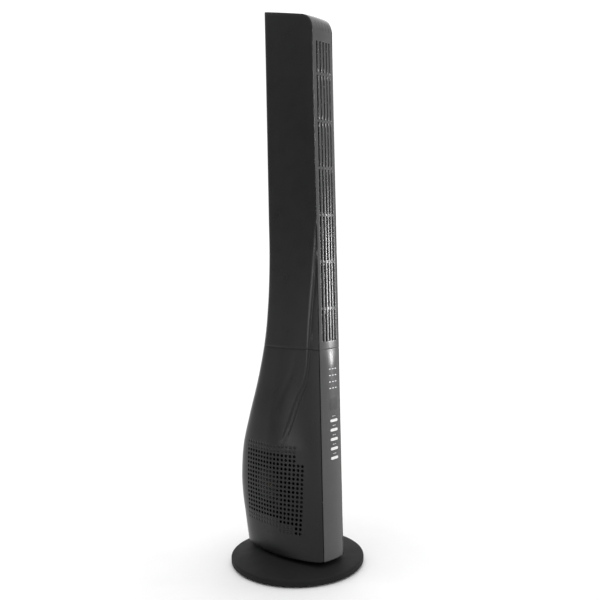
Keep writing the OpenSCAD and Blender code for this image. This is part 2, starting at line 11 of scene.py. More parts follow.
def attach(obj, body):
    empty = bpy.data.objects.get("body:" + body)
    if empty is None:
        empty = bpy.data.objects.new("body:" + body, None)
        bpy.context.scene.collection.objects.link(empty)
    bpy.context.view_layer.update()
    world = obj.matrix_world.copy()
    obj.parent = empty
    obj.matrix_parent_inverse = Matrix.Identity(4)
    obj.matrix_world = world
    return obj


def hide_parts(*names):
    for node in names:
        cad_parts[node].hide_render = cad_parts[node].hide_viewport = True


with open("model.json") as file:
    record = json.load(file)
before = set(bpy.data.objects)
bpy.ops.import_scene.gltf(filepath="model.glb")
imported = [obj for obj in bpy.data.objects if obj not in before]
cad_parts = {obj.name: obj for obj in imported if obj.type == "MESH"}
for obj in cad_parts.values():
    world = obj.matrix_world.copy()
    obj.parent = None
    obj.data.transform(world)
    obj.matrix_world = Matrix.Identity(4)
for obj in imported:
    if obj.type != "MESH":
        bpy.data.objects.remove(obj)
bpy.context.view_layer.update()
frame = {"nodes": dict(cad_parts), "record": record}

MM = 0.001

# ---- Camera ---------------------------------------------------------------------------------

# fitted to the photo: place in metres, heading, tilt down, roll, lens in millimetres and shift
CAMERA_AT = Vector((-1.1198, -1.1688, 0.6582))
CAMERA_HEADING = math.radians(-43.22)
CAMERA_DOWN = math.radians(0.892)
CAMERA_ROLL = math.radians(-1.31)
CAMERA_LENS, CAMERA_SENSOR = 44.015, 36
CAMERA_SHIFT = (0.0267, -0.0417)
CAMERA_REACH = 60


def make_camera():
    """The camera that took the photo."""
    a, p = CAMERA_HEADING, CAMERA_DOWN
    forward = Vector((-math.sin(a) * math.cos(p), math.cos(a) * math.cos(p), -math.sin(p)))
    right = Vector((math.cos(a), math.sin(a), 0))
    up = right.cross(forward)
    c, s = math.cos(CAMERA_ROLL), math.sin(CAMERA_ROLL)
    x, y, z = c * right + s * up, c * up - s * right, -forward
    camera = bpy.data.objects.new("camera", bpy.data.cameras.new("camera"))
    bpy.context.scene.collection.objects.link(camera)
    turn = Matrix((x, y, z)).transposed().to_4x4()
    camera.matrix_world = Matrix.Translation(CAMERA_AT) @ turn
    camera.data.lens = CAMERA_LENS
    camera.data.sensor_width = CAMERA_SENSOR
    camera.data.shift_x, camera.data.shift_y = CAMERA_SHIFT
    camera.data.clip_end = CAMERA_REACH
    bpy.context.scene.camera = camera


make_camera()

# ---- The body's smooth section, in millimetres as in the CAD -------------------------------

FRONT_HALF = 31.0  # half the distance between the two front corner edges
FRONT_Y = 110.0  # how far those edges lie in front of the base's centre
WALL = 2.2  # thickness of the casings
BODY_BOTTOM = 34.0  # underside of the tower
SEAM_Z = 477.0  # seam between the lower and the upper half
SEAM_GAP = 0.2  # the upper half stands this far above it
# height, half width, y of the widest point, y of the back, squareness, neck
STATIONS = [
    [34, 69, 5, 127, 2.7, 0.6],
    [94, 70.5, 15, 130, 3.1, 0.95],
    [139, 71, 22, 133.5, 3.4, 1.25],
    [183, 71, 26, 133, 3.6, 1.45],
    [249, 68, 26, 127, 3.6, 1.9],
    [315, 60.5, 20, 110, 3.6, 2.2],
    [403, 50, 10, 82, 3.8, 2.2],
    [491, 43.5, 2, 58, 4.3, 1.9],
    [579, 39.5, -4, 45, 5, 1.7],
    [667, 37.5, -6, 38, 6, 1.5],
    [755, 37, -6, 37.5, 6, 1.5],
    [1225, 37, -6, 35, 6, 1.5],
]


def smooth(t):
    """Runs softly from 0 to 1 as t does, and stays there outside."""
    t = min(1.0, max(0.0, t))
    return t * t * (3 - 2 * t)


def hermite_rows(rows, z):
    """All the columns of rows after the first, on a smooth cubic through the rows, at height z."""
    z = min(max(z, rows[0][0]), rows[-1][0])
    k = 0
    while k < len(rows) - 2 and z >= rows[k + 1][0]:
        k += 1

    def slope(m, i):
        a, b = max(m - 1, 0), min(m + 1, len(rows) - 1)
        return (rows[b][i] - rows[a][i]) / (rows[b][0] - rows[a][0])

    h = rows[k + 1][0] - rows[k][0]
    t = (z - rows[k][0]) / h
    return [
        rows[k][i] * (2 * t**3 - 3 * t * t + 1)
        + rows[k + 1][i] * (3 * t * t - 2 * t**3)
        + h * slope(k, i) * (t**3 - 2 * t * t + t)
        + h * slope(k + 1, i) * (t**3 - t * t)
        for i in range(1, len(rows[0]))
    ]


def side_x(y, z):
    """Half width of the smooth body at y and height z."""
    wide, y_wide, y_back, square, neck = hermite_rows(STATIONS, z)
    if y <= y_wide:
        u = min(1.0, max(0.0, (y + FRONT_Y) / (y_wide + FRONT_Y)))
        return FRONT_HALF + (wide - FRONT_HALF) * math.sin(math.pi / 2 * u) ** neck
    q = min(1.0, (y - y_wide) / (y_back - y_wide))
    return wide * (1 - q**square) ** (1 / square)


# ---- The crease: where the rear shell laps over the neck ------------------------------------

# height, y of the ridge, distance from the ridge to the lip in front of it, depth of the step,
# width of the rounding that leads into the step
CREASE = [
    [262, -10, 13, 0.0, 7.0],
    [291, -21.8, 11.5, 1.4, 6.0],
    [318, -31.6, 10.5, 2.2, 6.0],
    [348, -41.4, 10.5, 2.5, 6.0],
    [375, -51.7, 10.5, 2.6, 6.5],
    [403, -67.0, 8.5, 2.7, 7.0],
    [435, -76.0, 6.0, 2.7, 7.0],
    [469, -80.2, 6.9, 2.7, 7.0],
    [514, -84.0, 6.5, 3.0, 8.5],
    [565, -90.0, 4.0, 3.5, 10.5],
    [588, -93.0, 4.0, 3.6, 11.0],
    [629, -98.0, 3.5, 3.3, 10.5],
    [689, -103.5, 2.5, 2.2, 8.0],
    [729, -106.1, 1.5, 1.2, 6.0],
    [784, -108.6, 1.0, 0.0, 4.0],
]
CREASE_FOOT, CREASE_TOP = CREASE[0][0], CREASE[-1][0]
ROUND_END = 1.2  # the rounding ends this far in front of the ridge
FULL_DEPTH = 2.5  # depth at which the lip has its full height
ROUND_SHARE = 0.86  # share of the depth that the rounding takes, before the fillet under it
LIP_HEIGHT = 0.85
LIP_TOP, LIP_FADE = 530.0, 45.0
NECK_MARGIN = 2.0


def dent(y, z):
    """How far the surface lies inside the smooth body, at y and height z."""
    if not CREASE_FOOT < z < CREASE_TOP:
        return 0.0
    ridge, gap, depth, roll = hermite_rows(CREASE, z)
    ahead = ridge - y
    t = ahead + roll - ROUND_END
    if depth <= 0 or t <= 0:
        return 0.0
    drop = ROUND_SHARE * depth
    r = (roll * roll + drop * drop) / (2 * drop)
    if t < roll:
        d = r - math.sqrt(r * r - t * t)
    else:
        slope = roll / math.sqrt(r * r - roll * roll)
        fillet = 2 * (depth - drop) / slope
        past = min(t - roll, fillet)
        d = drop + slope * (past - past * past / (2 * fillet))
    lip = LIP_HEIGHT * depth / FULL_DEPTH * smooth((LIP_TOP - z) / LIP_FADE)
    d -= lip * smooth((ahead - gap + 2.6) / 1.8)
    d += lip * smooth((ahead - gap + 0.7) / 1.4)
    neck = ridge - gap - NECK_MARGIN + FRONT_Y
    return d * min(1.0, (y + FRONT_Y) / max(1.0, neck))


VALLEY_FOOT, VALLEY_TOP = 285.0, 500.0
VALLEY_DEPTH, VALLEY_SPREAD = 0.55, 60.0


def valley(y, z):
    """The soft hollow that runs down the side panel behind the crease."""
    if not VALLEY_FOOT < z < VALLEY_TOP:
        return 0.0
    middle = -50 + 52 * smooth((470 - z) / 150)
    fade = smooth((z - VALLEY_FOOT) / 40) * smooth((VALLEY_TOP - z) / 50)
    return VALLEY_DEPTH * fade * math.exp(-((y - middle) ** 2) / VALLEY_SPREAD)


# ---- Mesh helpers -----------------------------------------------------------------------------

# in metres: points closer than this are one point, and edges shorter than this are none
SAME_POINT, NO_LENGTH = 2e-6, 1e-6


class Skin:
    """Points and faces of one surface, in millimetres, before it becomes a piece."""

    def __init__(self):
        self.points = []
        self.faces = []

    def add(self, point):
        self.points.append(point)
        return len(self.points) - 1

    def grid(self, rows, skip=()):
        """Adds rows of points and the quads between them, apart from the cells in skip."""
        index = [[self.add(p) for p in row] for row in rows]
        for i in range(len(rows) - 1):
            for j in range(len(rows[0]) - 1):
                if (i, j) not in skip:
                    self.quad(index[i][j], index[i][j + 1], index[i + 1][j + 1], index[i + 1][j])
        return index

    def quad(self, *corners):
        self.faces.append(corners)

    def band(self, outer, inner):
        """Quads between two closed rings of equally many points."""
        n = len(outer)
        for k in range(n):
            self.quad(outer[k], outer[(k + 1) % n], inner[(k + 1) % n], inner[k])

    def lid(self, ring):
        """Quads across a ring that is symmetric about the line between its two ends."""
        n = len(ring)
        for k in range(n // 2 - 1):
            self.quad(ring[k], ring[k + 1], ring[n - 2 - k], ring[n - 1 - k])

    def floor(self, ring):
        """The same, facing the other way."""
        n = len(ring)
        for k in range(n // 2 - 1):
            self.quad(ring[n - 1 - k], ring[n - 2 - k], ring[k + 1], ring[k])

    def mesh(self, name):
        """The points and faces as a mesh, in metres."""
        mesh = bpy.data.meshes.new(name)
        mesh.from_pydata([(x * MM, y * MM, z * MM) for x, y, z in self.points], [], self.faces)
        return mesh

    def thicken(self, thickness):
        """Makes a closed wall: the surface, its copy further in, and the rims between them."""
        normals = [Vector() for _ in self.points]
        uses = {}
        for face in self.faces:
            corners = [Vector(self.points[i]) for i in face]
            normal = Vector()
            for a, b in zip(corners, corners[1:] + corners[:1]):
                normal += (a - corners[0]).cross(b - corners[0])
            for i in face:
                normals[i] += normal
            for a, b in zip(face, face[1:] + face[:1]):
                uses[(a, b)] = uses.get((a, b), 0) + 1
        n = len(self.points)
        self.points += [
            tuple(Vector(p) - m.normalized() * thickness) if m.length > 0 else p
            for p, m in zip(self.points, normals)
        ]
        self.faces += [tuple(i + n for i in reversed(f)) for f in self.faces]
        for a, b in uses:
            if (b, a) not in uses:
                self.quad(b, a, a + n, b + n)

    def piece(self, name, body, material, sharp=35):
        """The finished mesh object, riding on a body."""
        mesh = self.mesh(name)
        bm = bmesh.new()
        bm.from_mesh(mesh)
        bmesh.ops.delete(bm, geom=[v for v in bm.verts if not v.link_faces], context="VERTS")
        bmesh.ops.remove_doubles(bm, verts=bm.verts, dist=SAME_POINT)
        bmesh.ops.dissolve_degenerate(bm, edges=bm.edges, dist=NO_LENGTH)
        bmesh.ops.recalc_face_normals(bm, faces=bm.faces)
        bm.to_mesh(mesh)
        bm.free()
        finish_mesh(mesh, sharp)
        obj = bpy.data.objects.new(name, mesh)
        bpy.context.scene.collection.objects.link(obj)
        mesh.materials.append(material)
        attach(obj, body)
        return obj


def finish_mesh(mesh, sharp):
    """Smooth shading, apart from the edges sharper than an angle in degrees."""
    mesh.shade_smooth()
    mesh.set_sharp_from_angle(angle=math.radians(sharp))


def apply_modifiers(obj, sharp=35):
    """Replaces the object's mesh with what its modifiers make of it."""
    graph = bpy.context.evaluated_depsgraph_get()
    mesh = bpy.data.meshes.new_from_object(obj.evaluated_get(graph))
    obj.modifiers.clear()
    obj.data = mesh
    finish_mesh(mesh, sharp)


def cut(obj, skins, sharp=35):
    """Cuts closed skins out of a piece."""
    both = Skin()
    for skin in skins:
        n = len(both.points)
        both.points += skin.points
        both.faces += [tuple(i + n for i in f) for f in skin.faces]
    cutter = bpy.data.objects.new("cutter", both.mesh("cutter"))
    bpy.context.scene.collection.objects.link(cutter)
    boolean = obj.modifiers.new("cut", "BOOLEAN")
    boolean.object = cutter
    boolean.operation = "DIFFERENCE"
    boolean.solver = "EXACT"
    boolean.use_self = True
    bpy.context.view_layer.update()
    apply_modifiers(obj, sharp)
    bpy.data.objects.remove(cutter)


def prism(outline, y0, y1):
    """Closed prism of an XZ outline, listed anticlockwise from the front, between two y values."""
    skin = Skin()
    front = [skin.add((x, y0, z)) for x, z in outline]
    back = [skin.add((x, y1, z)) for x, z in outline]
    skin.faces.append(tuple(front))
    skin.faces.append(tuple(reversed(back)))
    n = len(front)
    for k in range(n):
        skin.quad(front[(k + 1) % n], front[k], back[k], back[(k + 1) % n])
    return skin


def stadium(x, z, width, height, steps=10):
    """Outline of a flat bar with round ends, anticlockwise from the front."""
    r = height / 2
    angles = [math.pi * k / steps for k in range(steps + 1)]
    right = [(x + width / 2 - r + r * math.sin(a), z - r * math.cos(a)) for a in angles]
    left = [(x - width / 2 + r - r * math.sin(a), z + r * math.cos(a)) for a in angles]
    return right + left


def rounded_box(x0, x1, z0, z1, r, steps=5):
    """Outline of a box with round corners, anticlockwise from the front."""
    out = []
    for cx, cz, start in (
        (x1 - r, z0 + r, -90),
        (x1 - r, z1 - r, 0),
        (x0 + r, z1 - r, 90),
        (x0 + r, z0 + r, 180),
    ):
        for k in range(steps + 1):
            a = math.radians(start + 90 * k / steps)
            out.append((cx + r * math.cos(a), cz + r * math.sin(a)))
    return out


# ---- Materials ------------------------------------------------------------------------------


def surface(
    name,
    dark,
    light,
    rough=(0.35, 0.5),
    grain=2200.0,
    bump=0.02,
    metallic=0.0,
    specular=0.5,
    coat=0.0,
    patch=9.0,
    distance=0.0002,
):
    """A moulded or machined finish: slow colour change, cloudy gloss and a fine moulded grain."""
    material = bpy.data.materials.new(name)
    material.use_nodes = True
    nodes, links = material.node_tree.nodes, material.node_tree.links
    shader = nodes["Principled BSDF"]
    shader.inputs["Metallic"].default_value = metallic
    shader.inputs["Specular IOR Level"].default_value = specular
    shader.inputs["Coat Weight"].default_value = coat
    shader.inputs["Coat Roughness"].default_value = 0.12
    place = nodes.new("ShaderNodeTexCoord")

    def noise(scale, detail, roughness=0.5):
        n = nodes.new("ShaderNodeTexNoise")
        n.inputs["Scale"].default_value = scale
        n.inputs["Detail"].default_value = detail
        n.inputs["Roughness"].default_value = roughness
        links.new(place.outputs["Object"], n.inputs["Vector"])
        return n

    tone = nodes.new("ShaderNodeValToRGB")
    tone.color_ramp.elements[0].position = 0.3
    tone.color_ramp.elements[0].color = (*dark, 1)
    tone.color_ramp.elements[1].position = 0.7
    tone.color_ramp.elements[1].color = (*light, 1)
    links.new(noise(patch, 6, 0.6).outputs["Fac"], tone.inputs["Fac"])
    links.new(tone.outputs["Color"], shader.inputs["Base Color"])

    gloss = nodes.new("ShaderNodeMapRange")
    gloss.inputs["From Min"].default_value = 0.3
    gloss.inputs["From Max"].default_value = 0.7
    gloss.inputs["To Min"].default_value = rough[0]
    gloss.inputs["To Max"].default_value = rough[1]
    links.new(noise(patch * 4, 5, 0.55).outputs["Fac"], gloss.inputs["Value"])
    links.new(gloss.outputs["Result"], shader.inputs["Roughness"])

    relief = nodes.new("ShaderNodeBump")
    relief.inputs["Strength"].default_value = bump
    relief.inputs["Distance"].default_value = distance
    links.new(noise(grain, 3, 0.6).outputs["Fac"], relief.inputs["Height"])
    links.new(relief.outputs["Normal"], shader.inputs["Normal"])
    return material


def grey(value):
    """A grey with the faint blue cast of the fan's plastics."""
    return (value, value, value * 1.02)


SLOTS = {
    "casing_black": surface(
        "casing_black", grey(0.0072), grey(0.0092), (0.27, 0.33), bump=0.012, specular=0.28
    ),
    "grille_grey": surface("grille_grey", grey(0.058), grey(0.066), (0.21, 0.26), 3000, 0.010, specular=0.45),
    "key_white": surface("key_white", (0.80, 0.80, 0.79), (0.86, 0.86, 0.85), (0.30, 0.38), bump=0.03),
    "lens_clear": surface(
        "lens_clear", (0.82, 0.84, 0.86), (0.88, 0.90, 0.92), (0.12, 0.18), bump=0.01, coat=0.5
    ),
    "lens_dark": surface(
        "lens_dark", (0.036, 0.034, 0.036), (0.042, 0.040, 0.042), (0.28, 0.34), bump=0.02, specular=0.4
    ),
    "inner_plastic": surface("inner_plastic", grey(0.005), grey(0.008), (0.5, 0.65), bump=0.12, specular=0.3),
    "pale_plastic": surface("pale_plastic", (0.66, 0.65, 0.61), (0.74, 0.73, 0.69), (0.4, 0.5), bump=0.06),
    "steel": surface(
        "steel", (0.070, 0.071, 0.074), (0.115, 0.116, 0.12), (0.34, 0.48), 900, 0.08, metallic=1.0
    ),
    "ballast": surface("ballast", grey(0.07), grey(0.11), (0.6, 0.8), 700, 0.3, metallic=0.8),
    "rubber": surface("rubber", grey(0.012), grey(0.020), (0.75, 0.9), 1200, 0.25, specular=0.3),
    "board_green": surface(
        "board_green", (0.012, 0.085, 0.035), (0.018, 0.11, 0.045), (0.3, 0.42), 1500, 0.06
    ),
    "part_black": surface("part_black", grey(0.011), grey(0.017), (0.35, 0.5), bump=0.08),
    "part_blue": surface("part_blue", (0.02, 0.05, 0.20), (0.03, 0.07, 0.26), (0.35, 0.45), bump=0.05),
    "bronze": surface("bronze", (0.42, 0.26, 0.12), (0.52, 0.33, 0.16), (0.3, 0.45), 800, 0.1, metallic=1.0),
    "copper": surface("copper", (0.55, 0.24, 0.11), (0.66, 0.31, 0.15), (0.25, 0.4), 1400, 0.3, metallic=1.0),
    "foam": surface("foam", grey(0.015), grey(0.03), (0.9, 1.0), 1800, 0.5, specular=0.2),
}

# the base is duller than the casings
MATT_BLACK = surface("base_black", grey(0.0170), grey(0.0205), (0.55, 0.66), bump=0.08, specular=0.07)


def paint_cad_nodes():
    """Every CAD node gets the finish of its own material slot."""
    slots = {s["node"]: s["material_slot"] for s in frame["record"]["subparts"]}
    for name, node in frame["nodes"].items():
        node.data.materials.clear()
        node.data.materials.append(SLOTS[slots[name]])


paint_cad_nodes()

# ---- Casing shells ----------------------------------------------------------------------------

HOLE_Y, HOLE_Z = 9.0, 9.35  # pitch of the intake's holes
FIRST_Y, FIRST_Z = -65.0, 88.5  # centre of the lowest place in the front column
HOLE_COLUMNS, HOLE_ROWS = 17, 20
HOLE_R = 3.0
CELL = 4  # mesh cells along each side of a hole's place
FRONT_CELLS = 18  # mesh cells between the front corner edge and the intake
GRID_Z0 = FIRST_Z - HOLE_Z / 2
GRID_Z1 = GRID_Z0 + HOLE_ROWS * HOLE_Z
SIDE_LINES = FRONT_CELLS + HOLE_COLUMNS * CELL
RIDGE_LINE = 42  # side column that follows the crease's ridge, about
REAR_STEPS = 44  # mesh cells round the rear corner
DENSE_STEPS = 240  # steps by which the rear curve's length is measured
GRID_END = FIRST_Y + (HOLE_COLUMNS - 0.5) * HOLE_Y
SPLIT_GAP, SPLIT_ROUND = 0.15, 0.35  # at the back, between the lower casing's two halves
CREASE_END = 800.0  # height at which the side columns no longer gather along the crease
# y and distance inwards of the points that round the front corner edge
EDGE = [(-110.0, 0.45), (-109.65, 0.13), (-109.2, 0.0)]
EDGE_STEP = 0.05  # the columns behind the edge keep at least this far apart
# rings from a hole's place inwards: radius and depth under the casing's face
HOLE_RINGS = {
    "open": [(HOLE_R + 0.9, 0.0), (HOLE_R + 0.4, 0.0), (HOLE_R + 0.1, 0.12), (HOLE_R, 0.42)],
    "blind": [(HOLE_R + 0.9, 0.0), (HOLE_R + 0.3, 0.0), (HOLE_R, 0.15), (HOLE_R - 0.9, 0.70)],
}
DIMPLE_DEPTH = 0.80


def side_end(z):
    """y where the evenly spaced side columns end and the rear curve begins."""
    wide, y_wide, y_back, _, _ = hermite_rows(STATIONS, z)
    return min(GRID_END, y_wide + 0.62 * (y_back - y_wide))


def spread(anchors, count):
    """count + 1 values, straight between the (index, value) anchors."""
    out = []
    k = 0
    for j in range(count + 1):
        while k < len(anchors) - 2 and j > anchors[k + 1][0]:
            k += 1
        (a, u), (b, v) = anchors[k], anchors[k + 1]
        out.append(u + (v - u) * (j - a) / (b - a))
    return out


def between(a, b, share):
    """Values that lie share of the way from those in a to those in b."""
    return [u + (v - u) * share for u, v in zip(a, b)]


def column_lines(z):
    """y of each side column at height z: even at the intake, gathered along the crease above it."""
    end = side_end(z)
    even = spread([(0, -FRONT_Y), (FRONT_CELLS, FIRST_Y - HOLE_Y / 2), (SIDE_LINES, end)], SIDE_LINES)
    if z > GRID_Z1 + 0.01:
        straight = spread([(0, -FRONT_Y), (SIDE_LINES, end)], SIDE_LINES)
        even = between(even, straight, smooth((z - GRID_Z1) / 60))
    if GRID_Z1 < z < CREASE_END:
        ridge, gap, _, _ = hermite_rows(CREASE, z)
        room = ridge + FRONT_Y
        ahead = min(gap + 5.0, 0.6 * room)
        anchors = [
            (0, -FRONT_Y),
            (RIDGE_LINE - 26, ridge - ahead),
            (RIDGE_LINE + 12, ridge + 13),
            (SIDE_LINES, end),
        ]
        share = smooth((z - GRID_Z1) / 22) * smooth((CREASE_END - z) / 110)
        even = between(even, spread(anchors, SIDE_LINES), share)
    return even


def rear_points(z, y_start):
    """Points round the rear corner to the centre, evenly along the curve."""
    wide, y_wide, y_back, square, _ = hermite_rows(STATIONS, z)
    a0 = math.asin(((y_start - y_wide) / (y_back - y_wide)) ** (square / 2))
    dense = []
    for k in range(DENSE_STEPS + 1):
        left = (1 - k / DENSE_STEPS) ** (square / 2)
        a = math.pi / 2 - (math.pi / 2 - a0) * left
        dense.append((
            wide * max(0.0, math.cos(a)) ** (2 / square),
            y_wide + (y_back - y_wide) * math.sin(a) ** (2 / square),
        ))
    lengths = [0.0]
    for a, b in zip(dense, dense[1:]):
        lengths.append(lengths[-1] + math.dist(a, b))
    out = []
    k = 0
    for step in range(1, REAR_STEPS + 1):
        want = lengths[-1] * step / REAR_STEPS
        while k < DENSE_STEPS - 1 and lengths[k + 1] < want:
            k += 1
        t = (want - lengths[k]) / (lengths[k + 1] - lengths[k])
        out.append(tuple(a + (b - a) * min(t, 1.0) for a, b in zip(dense[k], dense[k + 1])))
    return out


def shell_x(y, z):
    """Half width of the casing's outer surface at y and height z."""
    return side_x(y, z) - dent(y, z) - valley(y, z)


def section_row(z, inset=0.0, lines=None):
    """The +X half section at height z, front to back, moved inwards by inset."""
    lines = lines or column_lines(z)
    row = [(shell_x(y, z) - into, y) for y, into in EDGE]
    for k, y in enumerate(lines[1:]):
        y = max(y, EDGE[-1][0] + EDGE_STEP * (k + 1))
        row.append((shell_x(y, z), y))
    row += rear_points(z, lines[-1])
    if inset:
        moved = []
        for k, (x, y) in enumerate(row):
            ax, ay = row[max(k - 1, 0)]
            bx, by = row[min(k + 1, len(row) - 1)]
            tx, ty = bx - ax, by - ay
            length = math.hypot(tx, ty)
            moved.append((x - inset * ty / length, y + inset * tx / length))
        row = moved
    return row


def intake_kind(c, r):
    """'open', 'blind' or None for the intake's place in column c and row r."""
    low = 0 if c < 2 else 2 if c < 6 else 3
    high = 15 if c < 2 else 17
    if low <= r <= high:
        return "open"
    if c >= 2 and (low - 2 <= r < low or high < r <= high + 2):
        return "blind"
    return None


def lower_skin():
    """Outer surface of the +X half of the lower casing, with its intake holes and dimples."""
    foot, brow = BODY_BOTTOM + 2.0, SEAM_Z - 1.6
    levels = [(BODY_BOTTOM, 0.9), (BODY_BOTTOM + 0.25, 0.4), (BODY_BOTTOM + 0.9, 0.1), (foot, 0.0)]
    levels += [(foot + (GRID_Z0 - foot) * k / 20, 0.0) for k in range(1, 21)]
    first_row = len(levels) - 1
    levels += [(GRID_Z0 + HOLE_Z / CELL * k, 0.0) for k in range(1, HOLE_ROWS * CELL + 1)]
    levels += [(GRID_Z1 + (brow - GRID_Z1) * k / 84, 0.0) for k in range(1, 85)]
    levels += [(SEAM_Z - 0.7, 0.12), (SEAM_Z - 0.2, 0.55)]
    rows = []
    for z, inset in levels:
        row = section_row(z, inset)
        row[-1] = (SPLIT_GAP, row[-1][1] - SPLIT_ROUND)
        rows.append([(x, y, z) for x, y in row])

    skin = Skin()
    first_column = len(EDGE) - 1 + FRONT_CELLS
    holes, skip = [], set()
    for c in range(HOLE_COLUMNS):
        for r in range(HOLE_ROWS):
            kind = intake_kind(c, r)
            if kind:
                i, j = first_row + CELL * r, first_column + CELL * c
                holes.append((c, r, kind, i, j))
                skip |= {(i + a, j + b) for a in range(CELL) for b in range(CELL)}
    index = skin.grid(rows, skip)
    for c, r, kind, i, j in holes:
        y0, z0 = FIRST_Y + c * HOLE_Y, FIRST_Z + r * HOLE_Z
        rim = (
            [index[i][j + k] for k in range(CELL)]
            + [index[i + k][j + CELL] for k in range(CELL)]
            + [index[i + CELL][j + CELL - k] for k in range(CELL)]
            + [index[i + CELL - k][j] for k in range(CELL)]
        )
        angles = [math.atan2(skin.points[v][2] - z0, skin.points[v][1] - y0) for v in rim]

        def ring(radius, inset):
            out = []
            for a in angles:
                y, z = y0 + radius * math.cos(a), z0 + radius * math.sin(a)
                out.append(skin.add((shell_x(y, z) - inset, y, z)))
            return out

        outer = rim
        for radius, inset in HOLE_RINGS[kind]:
            inner = ring(radius, inset)
            skin.band(outer, inner)
            outer = inner
        if kind == "blind":
            middle = skin.add((shell_x(y0, z0) - DIMPLE_DEPTH, y0, z0))
            for k in range(len(outer)):
                skin.faces.append((outer[k], outer[(k + 1) % len(outer)], middle))
    return skin


SCREW_X = 12.0  # the lower casings' rear screws lie this far from the middle
LOWER_SCREWS = [66.0, 170.0]  # heights of the screws
UPPER_SCREWS = [700.0, 930.0, 1150.0]
HEAD_R, SHANK_R = 3.2, 1.8  # the holes for a screw's head and shank
HEAD_SEAT = 0.6  # wall left under a screw's head


def drum(x, z, radius, y0, y1, sides=40):
    """A closed cylinder that runs from y0 to y1."""
    angles = [2 * math.pi * k / sides for k in range(sides)]
    return prism([(x + radius * math.cos(a), z + radius * math.sin(a)) for a in angles], y0, y1)


def screw_cutters(x, z):
    """What a rear screw takes out of the casing: its head's recess and its shank's hole."""
    back = hermite_rows(STATIONS, z)[2]
    return [drum(x, z, HEAD_R, back - WALL + HEAD_SEAT, back + 9), drum(x, z, SHANK_R, back - 8, back + 8)]


def make_lower_shells():
    """Both halves: the right one is cut for its screws, and the left one is its mirror image."""
    skin = lower_skin()
    skin.thicken(WALL)
    right = skin.piece("lower_shell_right", "tower", SLOTS["casing_black"])
    cut(right, [c for z in LOWER_SCREWS for c in screw_cutters(SCREW_X, z)])
    mesh = right.data.copy()
    mesh.transform(Matrix.Scale(-1, 4, (1, 0, 0)))
    mesh.flip_normals()
    left = bpy.data.objects.new("lower_shell_left", mesh)
    bpy.context.scene.collection.objects.link(left)
    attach(left, "tower")
    for shell, name in ((right, "right"), (left, "left")):
        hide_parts("lower_casing_" + name)


make_lower_shells()

# ---- Upper casing -----------------------------------------------------------------------------

PEAK_Y, PEAK_Z = 36.0, 1212.0  # the sloping top's rear end, which is its highest point
TOP_SLOPE = math.radians(16)
TOP_R = 38.0  # the arc between the front and the sloping top
ARC_Y = -FRONT_Y + TOP_R
ARC_Z = PEAK_Z - (PEAK_Y - ARC_Y) * math.tan(TOP_SLOPE) - TOP_R / math.cos(TOP_SLOPE)
ARC_END = math.pi / 2 - TOP_SLOPE
ARC_LINES = 34  # mesh columns that meet the arc; the others meet the slope
COVER_Y = -85.7  # the top is covered from here backwards; the grille's curl lies in front
COVER_CELLS = 14  # mesh cells across the cover
LAST_Z = 1090.0  # last level row; above it the rows bend towards the top
RIM_Z = 1100.0  # height whose section is drawn out up to the rim
RIM_ROUND = 1.3  # size of the rim's rounding
# the front corner's points start up the arc in small steps, and their rounding is smaller
CORNER_ANGLE, CORNER_FADE, CORNER_LEAST = math.radians(0.25), math.radians(16), 0.12


def top_point(angle_or_y, arc, depth):
    """Point of the top's side profile, depth inside it: on the front arc or on the slope."""
    if arc:
        r = TOP_R - depth
        return ARC_Y - r * math.cos(angle_or_y), ARC_Z + r * math.sin(angle_or_y)
    y = angle_or_y
    z = ARC_Z + TOP_R / math.cos(TOP_SLOPE) + (y - ARC_Y) * math.tan(TOP_SLOPE)
    return y, z - depth / math.cos(TOP_SLOPE)


